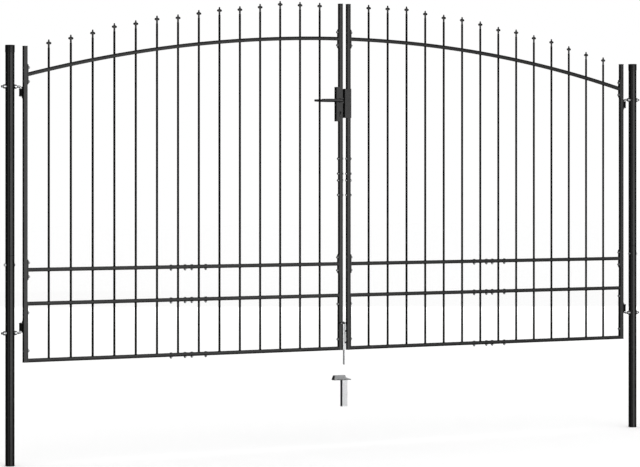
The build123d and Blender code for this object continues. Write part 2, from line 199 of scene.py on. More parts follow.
# greys, roughness and mirror strength of the paint; the scales are in waves per metre
coatLook = {"dark": 0.0036, "light": 0.0050, "toneScale": 6, "roughLow": 0.21, "roughHigh": 0.27,
            "glossScale": 35, "gloss": 0.5, "peelScale": 900, "peel": 0.10, "peelDepth": 0.0001}
# the bars, hinge barrels and barrel collars take a darker, less glossy copy of the same paint: painted shade
barShadedCoatLook = {**coatLook, "dark": 0.0022, "light": 0.0032, "roughLow": 0.34, "roughHigh": 0.40,
               "gloss": 0.08, "peel": 0.05}
# the rails and arch take a copy of the same paint that mirrors less: painted shade
railShadedCoatLook = {**coatLook, "gloss": 0.36}


def powderCoat(name, look):
    # near-black paint: slow shifts of tone and gloss, and a fine orange peel
    material, nodes, links, shader, place = startMaterial(name)
    tone = noiseValue(nodes, links, place, look["toneScale"], 4)
    dark, light = (3 * [look[key]] for key in ("dark", "light"))
    links.new(colourRamp(nodes, links, tone, ((0.35, dark), (0.7, light))), shader.inputs["Base Color"])
    shader.inputs["Specular IOR Level"].default_value = look["gloss"]
    gloss = noiseValue(nodes, links, place, look["glossScale"], 3)
    links.new(mapped(nodes, links, gloss, look["roughLow"], look["roughHigh"]), shader.inputs["Roughness"])
    peel = noiseValue(nodes, links, place, look["peelScale"], 1)
    addBump(nodes, links, shader, peel, look["peel"], look["peelDepth"])
    return material


galvanisedLook = {"dark": (0.80, 0.81, 0.82), "light": (0.95, 0.96, 0.97), "spangle": 340,
                  "rough": (0.32, 0.46), "grain": 900, "bump": 0.12, "bumpDepth": 0.0003}
dullZincLook = {**galvanisedLook, "dark": (0.46, 0.47, 0.48), "light": (0.62, 0.63, 0.64), "spangle": 700,
                "rough": (0.38, 0.52)}


def galvanised(name, look):
    # zinc crystals: cells of slightly different grey and gloss
    material, nodes, links, shader, place = startMaterial(name, 1.0)
    cells = nodes.new("ShaderNodeTexVoronoi")
    cells.inputs["Scale"].default_value = look["spangle"]
    links.new(place, cells.inputs["Vector"])
    grey = nodes.new("ShaderNodeSeparateColor")
    links.new(cells.outputs["Color"], grey.inputs["Color"])
    tone = grey.outputs["Red"]
    links.new(colourRamp(nodes, links, tone, ((0.0, look["dark"]), (1.0, look["light"]))),
              shader.inputs["Base Color"])
    links.new(mapped(nodes, links, grey.outputs["Green"], *look["rough"], 0, 1), shader.inputs["Roughness"])
    grain = noiseValue(nodes, links, place, look["grain"], 2)
    addBump(nodes, links, shader, grain, look["bump"], look["bumpDepth"])
    return material


zincLook = {"dark": (0.78, 0.79, 0.80), "light": (0.93, 0.94, 0.95), "rough": (0.24, 0.40), "cloudScale": 180,
            "grain": 1500, "bump": 0.08, "bumpDepth": 0.0002}


def brightZinc():
    # plated fasteners: bright grey with faint clouding
    material, nodes, links, shader, place = startMaterial("brightZinc", 1.0)
    cloud = noiseValue(nodes, links, place, zincLook["cloudScale"], 4)
    links.new(colourRamp(nodes, links, cloud, ((0.3, zincLook["dark"]), (0.7, zincLook["light"]))),
              shader.inputs["Base Color"])
    links.new(mapped(nodes, links, cloud, *zincLook["rough"]), shader.inputs["Roughness"])
    grain = noiseValue(nodes, links, place, zincLook["grain"], 2)
    addBump(nodes, links, shader, grain, zincLook["bump"], zincLook["bumpDepth"])
    return material


plasticLook = {"dark": 3 * [0.0035], "light": 3 * [0.0055], "toneScale": 60, "rough": (0.28, 0.36),
               "grain": 2500, "bump": 0.2, "bumpDepth": 0.0002}


def blackPlastic():
    # moulded caps: dull, with a fine grain
    material, nodes, links, shader, place = startMaterial("blackPlastic")
    tone = noiseValue(nodes, links, place, plasticLook["toneScale"], 3)
    links.new(colourRamp(nodes, links, tone, ((0.3, plasticLook["dark"]), (0.7, plasticLook["light"]))),
              shader.inputs["Base Color"])
    links.new(mapped(nodes, links, tone, *plasticLook["rough"]), shader.inputs["Roughness"])
    grain = noiseValue(nodes, links, place, plasticLook["grain"], 1)
    addBump(nodes, links, shader, grain, plasticLook["bump"], plasticLook["bumpDepth"])
    return material


coat = powderCoat("blackPowderCoat", coatLook)
barShadedCoat = powderCoat("barShadedPowderCoat", barShadedCoatLook)
railShadedCoat = powderCoat("railShadedPowderCoat", railShadedCoatLook)
galvanisedSteel = galvanised("galvanisedSteel", galvanisedLook)
zinc = brightZinc()
dullZinc = galvanised("dullZinc", dullZincLook)
plastic = blackPlastic()

jointAndShadeLook = {"dark": 3 * [0.002], "light": 3 * [0.005], "toneScale": 400, "rough": 0.9, "gloss": 0.08}


def jointAndShadeMaterial():
    # the dark gap where two tubes meet, and painted shade: the inside of a keyhole, the guide's notches, the
    # dark disc on the lever's bend and the socket's lower edge
    material, nodes, links, shader, place = startMaterial("jointShadow")
    tone = noiseValue(nodes, links, place, jointAndShadeLook["toneScale"], 2)
    links.new(colourRamp(nodes, links, tone, ((0.3, jointAndShadeLook["dark"]), (0.7, jointAndShadeLook["light"]))),
              shader.inputs["Base Color"])
    shader.inputs["Roughness"].default_value = jointAndShadeLook["rough"]
    shader.inputs["Specular IOR Level"].default_value = jointAndShadeLook["gloss"]
    return material


jointAndShadeDark = jointAndShadeMaterial()
print("materials made")


# putting pieces in the scene
def addPiece(name, shape, material, body, replaced=(), sharpAngle=35):
    # a smooth mesh whose edges stay sharp above sharpAngle degrees; it rides with a body, and may stand for
    # CAD nodes, which it hides
    mesh = bpy.data.meshes.new(name)
    mesh.from_pydata(shape[0].tolist(), [], shape[1])
    mesh.materials.append(material)
    mesh.polygons.foreach_set("use_smooth", np.ones(len(mesh.polygons), dtype=bool))
    mesh.set_sharp_from_angle(angle=math.radians(sharpAngle))
    mesh.validate()
    obj = bpy.data.objects.new(name, mesh)
    bpy.context.scene.collection.objects.link(obj)
    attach(obj, body)
    if replaced:
        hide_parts(*replaced)


def addPair(name, shape, material, body, replaced=(), sharpAngle=35):
    # the left piece and its mirror image; bodies and nodes of the leaves have a side in their name
    otherBody = body.replace("left_", "right_")
    others = [node.replace("left_", "right_") for node in replaced]
    addPiece("left" + name, shape, material, body, replaced, sharpAngle)
    addPiece("right" + name, mirrored(shape), material, otherBody, others, sharpAngle)


# posts
post = {"footDepth": 0.30, "wall": 0.003, "bevel": 0.0008, "footBevel": 0.0006, "segments": 64,
        "capEdge": 0.0022, "capDome": 0.0006, "skirtBevel": (0.0005, 0.0006), "seam": 0.0012,
        "seamProud": 0.0002}
pinhole = 0.0005  # radius at which a turned outline stops short of its axis
lowerLow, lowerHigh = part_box("left_post_lower")
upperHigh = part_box("left_post_upper")[1]
capLow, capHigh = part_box("post_caps")
postRadius = (lowerHigh[0] - lowerLow[0]) / 2
postX = (lowerHigh[0] + lowerLow[0]) / 2
capRadius = (capHigh[1] - capLow[1]) / 2
joint = lowerHigh[2]


def postShape(low, high, openFoot):
    # a tube's outline, bevelled at its ends and turned about its axis; an open foot goes up inside the tube
    # and closes there
    bevel = post["bevel"]
    foot = [(postRadius - bevel, low)]
    if openFoot:
        inner, inside = postRadius - post["wall"], low + post["footDepth"]
        foot = [(pinhole, inside), (inner, inside), (inner, low), (postRadius - post["footBevel"], low)]
    profile = [*foot, (postRadius, low + bevel), (postRadius, high - bevel), (postRadius - bevel, high),
               (pinhole, high)]
    return revolve(profile, (postX, 0, 0), (0, 0, 1), post["segments"])


def capShape():
    # a cap with a rounded edge: a quarter circle from the skirt to the crown, then a dome that falls with the
    # square of the distance from the axis
    edge, dome = post["capEdge"], post["capDome"]
    bevelIn, bevelUp = post["skirtBevel"]
    angle = np.linspace(0, math.pi / 2, 9)
    radius = capRadius - edge + edge * np.cos(angle)
    height = capHigh[2] - edge - dome + edge * np.sin(angle)
    crown = np.linspace(1, 0.02, 6)[1:]
    profile = [(postRadius, capLow[2]), (capRadius - bevelIn, capLow[2]), (capRadius, capLow[2] + bevelUp),
               *zip(radius, height)]
    profile += [((capRadius - edge) * share, capHigh[2] - dome * share**2) for share in crown]
    return revolve(profile, (postX, 0, 0), (0, 0, 1), post["segments"])


addPair("PostLower", postShape(lowerLow[2], joint, True), coat, "posts", ["left_post_lower"])
addPair("PostUpper", postShape(joint, upperHigh[2], False), coat, "posts", ["left_post_upper"])
leftCap = capShape()
addPiece("postCaps", join([leftCap, mirrored(leftCap)]), plastic, "posts", ["post_caps"])
print("posts made")

# stiles and rails: square tubes with rounded corners
tube = {"stileWidth": 0.022, "stileCorner": 0.0021, "railWidth": 0.020, "railCorner": 0.0025,
        "archRadius": 7.4, "archCrown": 2.282, "archSteps": 60}
stileSection = roundedRectangle(tube["stileWidth"], tube["stileWidth"], tube["stileCorner"])
railSection = roundedRectangle(tube["railWidth"], tube["railWidth"], tube["railCorner"])


def uprightTube(node):
    # the stile's section along a straight path up the middle of the node's box
    low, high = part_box(node)
    x = (low[0] + high[0]) / 2
    return sweep([(x, 0, z) for z in np.linspace(low[2], high[2], 3)], stileSection, (0, 1, 0))


def levelTube(node):
    # the rail's section along a straight path through the middle of the node's box
    low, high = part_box(node)
    z = (low[2] + high[2]) / 2
    return sweep([(x, 0, z) for x in np.linspace(low[0], high[0], 5)], railSection, (0, 1, 0))


def archHeight(x):
    # a circle: crown - radius + root(radius squared - distance from the middle squared)
    return tube["archCrown"] - tube["archRadius"] + np.sqrt(tube["archRadius"]**2 - (x - gateMiddle)**2)


def archTube():
    # the rail's section along the circle, with stations at equal steps of x
    low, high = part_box("left_arch")
    x = np.linspace(low[0], high[0], tube["archSteps"])
    path = np.stack([x, 0 * x, archHeight(x)], axis=1)
    return sweep(path, railSection, (0, 1, 0))


for node in ("hinge_stile", "meeting_stile_lower", "meeting_stile_upper"):
    name = "".join(word.capitalize() for word in node.split("_"))
    addPair(name, uprightTube("left_" + node), coat, "left_leaf", ["left_" + node])
for node in ("upper_rail", "lower_rail", "bottom_rail"):
    name = "".join(word.capitalize() for word in node.split("_"))
    addPair(name, levelTube("left_" + node), railShadedCoat, "left_leaf", ["left_" + node])
addPair("Arch", archTube(), railShadedCoat, "left_leaf", ["left_arch"])
print("frame tubes made")

# bars with their welds, and spear heads
bar = {"count": 14, "segments": 24, "intoHead": 0.002, "headReach": 0.02, "weldRadius": 0.0077,
       "weldHeight": 0.0018, "weldFoot": (-0.001, 0.0002), "weldShoulder": (0.9, 0.6), "weldTop": 0.98}
head = {"width": 0.030, "height": 0.046, "thick": 0.009, "neck": 0.0052, "lobeCentre": 0.0265,
        "lobeHalf": 0.0072, "waist": 0.0044, "waistPower": 9, "waistEnd": 0.99, "thinPower": 4,
        "thinEnd": 0.985, "rows": 44, "segments": 24}
barLow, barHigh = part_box("left_bars")
barRadius = (barHigh[1] - barLow[1]) / 2
barX = np.linspace(barLow[0] + barRadius, barHigh[0] - barRadius, bar["count"])
headPoints = nodePoints("left_spear_heads")
headRows = [np.abs(headPoints[:, 0] - x) < bar["headReach"] for x in barX]
barTip = np.array([headPoints[rows][:, 2].max() for rows in headRows])


def barShape(x, tip):
    # a round section from the bars' foot to just inside the head
    ends = (barLow[2], tip - head["height"] + bar["intoHead"])
    return sweep([(x, 0, z) for z in ends], circleSection(barRadius, bar["segments"]), (0, 1, 0))


def weldShape(x, z, up):
    # a low cone round the bar on a rail's face: sunk foot, toe, shoulder (shares of radius and height) and a
    # top just inside the bar; up is 1 above the rail and -1 below it
    tall, radius = bar["weldHeight"], bar["weldRadius"]
    sunk, toe = bar["weldFoot"]
    inwards, upwards = bar["weldShoulder"]
    profile = [(radius, sunk), (radius, toe), (radius * inwards, tall * upwards),
               (barRadius * bar["weldTop"], tall)]
    return revolve(profile, (x, 0, z), (0, 0, up), 20)


def weldShapes(x):
    # one bar's welds: above and below the two upper rails, and above the bottom one
    places = []
    for node in ("left_upper_rail", "left_lower_rail"):
        low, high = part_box(node)
        places += [(high[2], 1), (low[2], -1)]
    places.append((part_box("left_bottom_rail")[1][2], 1))
    return [weldShape(x, z, up) for z, up in places]


def headShape(x, tip):
    # rings up the head, each an ellipse; share runs from 0 at the lobe's middle to 1 at the tip:
    # half-width = stem + (width / 2 - stem) * root(1 - ((z - lobe's centre) / lobe's half)^2), where the stem
    # is the neck below the lobe and waist * root(1 - end * share^power) above it;
    # half-thickness = thick / 2 * root(1 - (end * share)^power)
    z = np.linspace(0, 1, head["rows"]) * head["height"]
    lobe = np.clip(1 - ((z - head["lobeCentre"]) / head["lobeHalf"])**2, 0, 1)
    share = np.clip((z - head["lobeCentre"]) / (head["height"] - head["lobeCentre"]), 0, 1)
    waist = head["waist"] * np.sqrt(1 - share**head["waistPower"] * head["waistEnd"])
    stem = np.where(z < head["lobeCentre"], head["neck"], waist)
    half = stem + (head["width"] / 2 - stem) * np.sqrt(lobe)
    thick = head["thick"] / 2 * np.sqrt(np.clip(1 - (share * head["thinEnd"])**head["thinPower"], 0, 1))
    angle = np.linspace(0, 2 * math.pi, head["segments"], endpoint=False)
    rings = np.stack([x + half[:, None] * np.cos(angle), thick[:, None] * np.sin(angle),
                      np.broadcast_to((tip - head["height"] + z)[:, None], (len(z), len(angle)))], axis=-1)
    return loft(rings)


bars = join([shape for x, tip in zip(barX, barTip) for shape in [barShape(x, tip), *weldShapes(x)]])
heads = join([headShape(x, tip) for x, tip in zip(barX, barTip)])
addPair("Bars", bars, barShadedCoat, "left_leaf", ["left_bars"])
addPair("SpearHeads", heads, coat, "left_leaf", ["left_spear_heads"], sharpAngle=50)
print("bars and heads made")

# bolts
bolt = {"headRadius": 0.0078, "headHeight": 0.0035, "lowHead": 0.0026, "headRim": 0.0004, "headFoot": 0.96,
        "headTurn": 0.97, "hexHead": 0.0050, "nutFlats": 0.013, "nutHeight": 0.0055, "washerRadius": 0.0082,
        "washer": 0.0014, "threadRadius": 0.0040, "thread": 0.0032, "threadInNut": 0.0005, "pitch": 0.00125,
        "threadDip": 0.09, "threadTip": (0.8, 0.0003)}

# up a nut: the cone's radius in half flats, which cuts the hexagon's corners, and the share of the height
nutOutline = ((0.93, 0.0), (1.03, 0.05), (2, 0.16), (2, 0.84), (1.03, 0.95), (0.93, 1.0))


def roundHead(place, axis, radius, height):
    # nearly a quarter ellipse turned about the bolt's axis: (radius * cos, rim + (height - rim) * sin)
    rim = bolt["headRim"]
    angle = np.linspace(0, math.pi / 2 * bolt["headTurn"], 7)
    profile = [(radius * bolt["headFoot"], 0),
               *zip(radius * np.cos(angle), rim + (height - rim) * np.sin(angle))]
    return revolve(profile, place, axis, 24)


def hexNut(place, axis, flats, height):
    # radius of a hexagon, flats / 2 / cos(angle from the middle of a side), cut by a cone at both ends
    axis = np.asarray(axis, dtype=float)
    u = np.cross(axis, (0, 0, 1) if abs(axis[2]) < 0.5 else (1, 0, 0))
    v = np.cross(axis, u)
    angle = np.linspace(0, 2 * math.pi, 36, endpoint=False)
    spokes = np.cos(angle)[:, None] * u + np.sin(angle)[:, None] * v
    hexagon = flats / 2 / np.cos((angle + math.pi / 6) % (math.pi / 3) - math.pi / 6)
    rings = []
    for cone, share in nutOutline:
        radius = np.minimum(hexagon, cone * flats / 2)[:, None]
        rings.append(np.asarray(place) + share * height * axis + radius * spokes)
    return loft(rings)


def disc(place, axis, radius, height):
    # a flat cylinder whose two edges are bevelled, by 0.3 mm at most
    edge = min(0.0003, height / 4)
    return revolve([(radius - edge, 0), (radius, edge), (radius, height - edge), (radius - edge, height)],
                   place, axis, 28)


def threadEnd(place, axis, radius, length):
    # a bolt's end: radius * (1 - dip * (0.5 + 0.5 * cos(2 pi * height / pitch))), and a bevelled tip
    steps = max(int(length / bolt["pitch"] * 4), 4)
    height = np.linspace(0, length, steps)
    dip = bolt["threadDip"] * radius * (0.5 + 0.5 * np.cos(2 * math.pi * height / bolt["pitch"]))
    narrow, beyond = bolt["threadTip"]
    profile = [*zip(radius - dip, height), (radius * narrow, length + beyond)]
    return revolve(profile, place, axis, 20)


def nutEnd(place, axis):
    # washer, nut and the bolt's end, one above the other along the axis
    place, axis = np.asarray(place, dtype=float), np.asarray(axis, dtype=float)
    onWasher = place + bolt["washer"] * axis
    onNut = onWasher + bolt["nutHeight"] * axis
    return [disc(place, axis, bolt["washerRadius"], bolt["washer"]),
            hexNut(onWasher, axis, bolt["nutFlats"], bolt["nutHeight"]),
            threadEnd(onNut - bolt["threadInNut"] * axis, axis, bolt["threadRadius"], bolt["thread"])]


plates = {"boltOffset": 0.0365, "thick": 0.005, "lowBolts": (0.794, 0.596), "lowThick": 0.003}
hingeLow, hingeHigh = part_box("left_hinge_stile")
meetLow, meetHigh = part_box("left_meeting_stile_lower")


def plateBolts():
    # two bolts at each end plate: nuts on the bars' side, round heads on the stile's outer face
    shapes = []
    upper = sum(corner[2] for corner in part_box("left_upper_rail")) / 2
    for inner, outer, side in ((hingeHigh[0], hingeLow[0], 1), (meetLow[0], meetHigh[0], -1)):
        heights = [archHeight(inner) + step for step in (-plates["boltOffset"], plates["boltOffset"])]
        heights += [upper - plates["boltOffset"], upper + plates["boltOffset"]]
        seats = [(plates["thick"], z) for z in heights]
        seats += [(plates["lowThick"], z) for z in plates["lowBolts"]]
        for depth, z in seats:
            shapes += nutEnd((inner + side * depth, 0, z), (side, 0, 0))
            shapes.append(roundHead((outer, 0, z), (-side, 0, 0), bolt["headRadius"], bolt["lowHead"]))
    return shapes


rails = {"jointBolts": (-0.103, -0.020, 0.020, 0.103),
         "nodes": ("left_upper_rail", "left_lower_rail", "left_bottom_rail")}


def railJointBolts():
    # round heads on the rail's top, nuts below it
    shapes = []
    for node in rails["nodes"]:
        low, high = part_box(node)
        middle = (low[0] + high[0]) / 2
        for step in rails["jointBolts"]:
            top = (middle + step, 0, high[2])
            shapes.append(roundHead(top, (0, 0, 1), bolt["headRadius"], bolt["headHeight"]))
            shapes += nutEnd((middle + step, 0, low[2]), (0, 0, -1))
    return shapes


stileJoint = {"bolts": (1.609, 1.525, 1.487, 1.405)}


def stileJointBolts():
    # nuts on the bars' side of the meeting stile, six-sided heads on its other side
    shapes = []
    for z in stileJoint["bolts"]:
        shapes += nutEnd((meetLow[0], 0, z), (-1, 0, 0))
        shapes.append(hexNut((meetHigh[0], 0, z), (1, 0, 0), bolt["nutFlats"], bolt["hexHead"]))
    return shapes


addPair("FrameBolts", join(plateBolts() + railJointBolts() + stileJointBolts()), dullZinc, "left_leaf",
        ())


seam = {"length": 0.0009, "railWidth": 0.0203, "stileWidth": 0.0223, "corner": 0.0024}


def seamBand(place, axis, width):
    # a thin dark band just proud of a tube, where its two lengths meet
    place, axis = np.asarray(place, dtype=float), np.asarray(axis, dtype=float)
    path = [place - seam["length"] / 2 * axis, place + seam["length"] / 2 * axis]
    return sweep(path, roundedRectangle(width, width, seam["corner"]), (0, 1, 0))


seams = []
for node in rails["nodes"]:
    low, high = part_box(node)
    seams.append(seamBand(((low[0] + high[0]) / 2, 0, (low[2] + high[2]) / 2), (1, 0, 0), seam["railWidth"]))
seams.append(seamBand(((meetLow[0] + meetHigh[0]) / 2, 0, meetHigh[2]), (0, 0, 1), seam["stileWidth"]))
addPair("FrameSeams", join(seams), jointAndShadeDark, "left_leaf")
postSeam = disc((postX, 0, joint - post["seam"] / 2), (0, 0, 1), postRadius + post["seamProud"], post["seam"])
addPiece("postSeams", join([postSeam, mirrored(postSeam)]), jointAndShadeDark, "posts")

# hinge pins: threaded rods through the posts, bent into the barrels, with nuts and washers; halfway is a
# height between the upper and the lower hinge
hinge = {"axis": 0.059, "outerEnd": -0.048, "bend": 0.009, "radius": 0.006, "pitch": 0.00175,
         "threadDepth": 0.0008, "threadStop": 0.006, "stations": 300, "bendGaps": (0.004, 0.002),
         "endBevels": (0.0012, 0.001), "flats": 0.019, "nut": 0.010, "washerRadius": 0.012, "washer": 0.0022,
         "washerInto": 0.0012, "halfway": 1.3}


def hingePin(rodZ, endZ):
    # rod along x, a quarter circle, then a pin along z, with a gap between the stations before and after the
    # bend; the threaded length dips once in every pitch: radius - depth * (0.5 + 0.5 * cos(2 pi * x / pitch))
    up = 1 if endZ > rodZ else -1
    bend = hinge["bend"]
    bendX = hinge["axis"] - bend
    before, after = hinge["bendGaps"]
    straight = np.linspace(hinge["outerEnd"], bendX - before, hinge["stations"])
    rod = np.stack([straight, 0 * straight, 0 * straight + rodZ], axis=1)
    angle = np.linspace(0, math.pi / 2, 10)
    curveX, curveZ = bendX + bend * np.sin(angle), rodZ + up * bend * (1 - np.cos(angle))
    curve = np.stack([curveX, 0 * angle, curveZ], axis=1)
    height = np.linspace(rodZ + up * (bend + after), endZ, 6)
    pin = np.stack([0 * height + hinge["axis"], 0 * height, height], axis=1)
    path = np.concatenate([rod, curve, pin])
    dip = 0.5 + 0.5 * np.cos(2 * math.pi * path[:, 0] / hinge["pitch"])
    dip = np.where(path[:, 0] < bendX - hinge["threadStop"], dip, 0)
    radius = hinge["radius"] - hinge["threadDepth"] * dip
    radius[[0, -1]] -= hinge["endBevels"]
    section = circleSection(1, 24)[None] * radius[:, None, None]
    return sweep(path, section, (0, 1, 0))


def pinNuts(rodZ):
    # on both sides of a post, a washer that is let into its round face and a nut on the washer
    shapes = []
    into, washer = hinge["washerInto"], hinge["washer"]
    for start, side in ((postX - postRadius, -1), (postX + postRadius, 1)):
        axis = np.array([side, 0, 0], dtype=float)
        place = np.array([start - side * into, 0, rodZ])
        shapes.append(disc(place, axis, hinge["washerRadius"], washer + into))
        shapes.append(hexNut(place + (washer + into) * axis, axis, hinge["flats"], hinge["nut"]))
    return shapes


barrelPoints = nodePoints("left_hinge_barrels")
barrelPoints = barrelPoints[barrelPoints[:, 0] < hinge["axis"]]
pinPoints = nodePoints("left_hinge_pins")
upperBarrel = barrelPoints[barrelPoints[:, 2] > hinge["halfway"]]
lowerBarrel = barrelPoints[barrelPoints[:, 2] < hinge["halfway"]]
upperRod = pinPoints[:, 2].max() - hinge["radius"]
lowerRod = pinPoints[:, 2].min() + hinge["radius"]
upperEnd = pinPoints[pinPoints[:, 2] > hinge["halfway"]][:, 2].min()
lowerEnd = pinPoints[pinPoints[:, 2] < hinge["halfway"]][:, 2].max()
pins = join([hingePin(upperRod, upperEnd), hingePin(lowerRod, lowerEnd)])
addPair("HingePins", pins, zinc, "posts", ["left_hinge_pins"])
addPair("HingeNuts", join(pinNuts(upperRod) + pinNuts(lowerRod)), zinc, "posts", ())

collar = {"bore": 0.0062, "radius": 0.0086, "bulge": 0.0014, "halfHeight": 0.0024}


def barrelCollar(z, up):
    # a rolled collar on the barrel's end: half an ellipse, (radius + bulge * cos, half + half * sin)
    half = collar["halfHeight"]
    angle = np.linspace(-math.pi / 2, math.pi / 2, 9)
    bulge = zip(collar["radius"] + collar["bulge"] * np.cos(angle), half + half * np.sin(angle))
    profile = [(collar["bore"], 0), *bulge, (collar["bore"], 2 * half)]
    return revolve(profile, (hinge["axis"], 0, z), (0, 0, up), 32)


collars = [barrelCollar(points[:, 2].min(), 1) for points in (upperBarrel, lowerBarrel)]
collars += [barrelCollar(points[:, 2].max(), -1) for points in (upperBarrel, lowerBarrel)]
addPair("BarrelCollars", join(collars), barShadedCoat, "left_leaf", ())

# a bolt through each post
postBolt = {"height": 1.046, "into": 0.0006, "headRadius": 0.0085, "head": 0.005}
through = nutEnd((postX - postRadius + postBolt["into"], 0, postBolt["height"]), (-1, 0, 0))
through.append(roundHead((postX + postRadius - postBolt["into"], 0, postBolt["height"]), (1, 0, 0),
                         postBolt["headRadius"], postBolt["head"]))
addPair("PostBolts", join(through), zinc, "posts", ())
print("bolts and hinges made")

# lock: levers, roses and keyholes
lever = {"neckRadius": 0.0078, "out": 0.0273, "bend": 0.009, "bendOut": 0.45, "length": 0.1348,
         "root": 0.0070, "middle": 0.0079, "tip": 0.0062, "thick": 0.0034, "endRound": 0.0045,
         "endShare": 0.997, "flat": 0.35, "round": 0.62, "neckSteps": 6, "bendSteps": 9, "handleSteps": 35,
         "bendShadeRadius": 0.0078, "plug": 0.0012, "bendShadeRise": 0.0004}
rose = {"radius": 0.0125, "shoulder": 0.0105, "roundOut": 0.002, "base": 0.002, "roundUp": 0.0015,
        "bore": 0.006, "height": 0.0035}
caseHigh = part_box("lock_case")[1]
spindleLow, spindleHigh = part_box("lock_spindle")
spindle = np.array([(spindleLow[0] + spindleHigh[0]) / 2, 0, (spindleLow[2] + spindleHigh[2]) / 2])


def leverShape(side):
    # path out of the case, part of a quarter circle, then along the handle; the section goes from a circle to
    # (cos to a power, sin to the same power), boxy above and rounder below; its height is a parabola through
    # root, middle and tip, and the end closes as root(1 - end share * into squared)
    face = side * caseHigh[1]
    neckSteps, bendSteps, handleSteps = (lever[key] for key in ("neckSteps", "bendSteps", "handleSteps"))
    neck = np.linspace(face, face + side * lever["out"], neckSteps)
    neckPath = np.stack([0 * neck + spindle[0], neck, 0 * neck + spindle[2]], axis=1)
    angle = np.linspace(0, math.pi / 2, bendSteps + 1)[1:]
    bend = lever["bend"]
    elbowX = spindle[0] - bend * (1 - np.cos(angle))
    elbowY = neck[-1] + side * bend * np.sin(angle) * lever["bendOut"]
    elbow = np.stack([elbowX, elbowY, 0 * angle + spindle[2]], axis=1)
    share = np.sin(np.linspace(0, math.pi / 2, handleSteps + 1)[1:])
    last = spindle[0] - lever["length"]
    along = elbow[-1, 0] + (last - elbow[-1, 0]) * share
    handle = np.stack([along, 0 * along + elbow[-1, 1], 0 * along + spindle[2]], axis=1)
    path = np.concatenate([neckPath, elbow, handle])
    sag = lever["middle"] - (lever["root"] + lever["tip"]) / 2
    handleHeight = lever["root"] + (lever["tip"] - lever["root"]) * share + 4 * sag * share * (1 - share)
    easing = np.linspace(0, 1, bendSteps)
    neckHalf = np.full(neckSteps, lever["neckRadius"])
    heights = np.concatenate([neckHalf, lever["neckRadius"] + (lever["root"] - lever["neckRadius"]) * easing,
                              handleHeight])
    thick = np.concatenate([neckHalf, lever["neckRadius"] + (lever["thick"] - lever["neckRadius"]) * easing,
                            np.full(handleSteps, lever["thick"])])
    into = np.clip(1 - (path[:, 0] - last) / lever["endRound"], 0, 1)
    closing = np.sqrt(1 - lever["endShare"] * into**2)
    circle = circleSection(1, 28)
    blend = np.concatenate([np.zeros(neckSteps), easing, np.ones(handleSteps)])[:, None, None]
    power = 1 + blend * np.where(circle[:, 1:] > 0, lever["flat"] - 1, lever["round"] - 1)
    section = np.sign(circle) * np.abs(circle)**power
    section = section * np.stack([thick * closing, heights * closing], axis=1)[:, None]
    return sweep(path, section, (0, 0, 1))


def roseShape(side):
    # a raised ring under the lever, turned about the spindle: (shoulder + out * cos, base + up * sin)
    angle = np.linspace(0, math.pi / 2, 6)
    radius = rose["shoulder"] + rose["roundOut"] * np.cos(angle)
    height = rose["base"] + rose["roundUp"] * np.sin(angle)
    profile = [(rose["radius"], 0), *zip(radius, height), (rose["bore"], rose["height"])]
    return revolve(profile, (spindle[0], side * caseHigh[1], spindle[2]), (0, side, 0), 40)


def leverBendShade(side):
    # a low dark disc over the spindle on the lever's bend: painted shade
    face = caseHigh[1] + lever["out"] + lever["bend"] * lever["bendOut"] + lever["thick"]
    place = (spindle[0], side * (face + lever["bendShadeRise"] - lever["plug"]), spindle[2])
    return disc(place, (0, side, 0), lever["bendShadeRadius"], lever["plug"])


addPiece("leverFront", leverShape(-1), coat, "lever", ["lever_front"], sharpAngle=60)
addPiece("leverBack", leverShape(1), coat, "lever", ["lever_back"], sharpAngle=60)
addPiece("leverBendShades", join([leverBendShade(-1), leverBendShade(1)]), jointAndShadeDark, "lever")
addPiece("lockRoses", join([roseShape(-1), roseShape(1)]), plastic, "left_leaf", ())
keyhole = {"round": 0.0050, "slotWidth": 0.0056, "slotLength": 0.0125, "into": 0.001, "raise": 0.0003}
cylinderLow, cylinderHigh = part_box("lock_cylinder")


def keyholeShadeShape(side):
    # an arc of a circle above a narrow slot, as one outline, drawn just proud of the cylinder's face: painted
    # shade of the keyhole's hollow
    half = keyhole["slotWidth"] / 2
    start = math.asin(half / keyhole["round"])
    arc = np.linspace(start - math.pi / 2, 1.5 * math.pi - start, 26)
    x = np.concatenate([keyhole["round"] * np.cos(arc), [-half, half]])
    z = np.concatenate([keyhole["round"] * np.sin(arc), 2 * [-keyhole["slotLength"]]])
    centre = cylinderHigh[2] - (cylinderHigh[0] - cylinderLow[0]) / 2
    face = side * cylinderHigh[1]
    depths = (face - side * keyhole["into"], face + side * keyhole["raise"])
    return loft([np.stack([spindle[0] + x, 0 * x + y, centre + z], axis=1) for y in depths])


addPiece("keyholeShades", join([keyholeShadeShape(-1), keyholeShadeShape(1)]), jointAndShadeDark, "left_leaf")
print("lock made")

# drop bolt: a round rod bent forwards and to the side, a black sleeve on its arm and a bright knob
dropBolt = {"radius": 0.0055, "point": 0.0030, "topRound": 0.0015, "armRadius": 0.0040, "bend": 0.0060,
            "sleeveRadius": 0.0046, "sleeve": (0.006, 0.0215), "sleeveBevel": 0.0006, "knobLength": 0.009,
            "knobRound": 0.0020, "knobReach": 0.005}

# the guide's two notches, drawn as dark plates of painted shade: the arm rests in them when it is turned; fall
# is the rod's travel
notch = {"width": 0.0040, "rise": 0.0086, "round": 0.0012, "inset": 0.0002, "depths": (0.0003, 0.0016),
         "upper": 0.641, "fall": 0.110}
rodPoints = nodePoints("drop_bolt_rod")
rodLow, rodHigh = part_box("drop_bolt_rod")
guideLow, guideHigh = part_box("drop_bolt_guide")
boltX, boltY = (guideLow[0] + guideHigh[0]) / 2, (guideLow[1] + guideHigh[1]) / 2
knobPoints = rodPoints[rodPoints[:, 0] < rodLow[0] + dropBolt["knobReach"]]
knobZ = (knobPoints[:, 2].min() + knobPoints[:, 2].max()) / 2
knobY = (knobPoints[:, 1].min() + knobPoints[:, 1].max()) / 2
knobRadius = (knobPoints[:, 2].max() - knobPoints[:, 2].min()) / 2


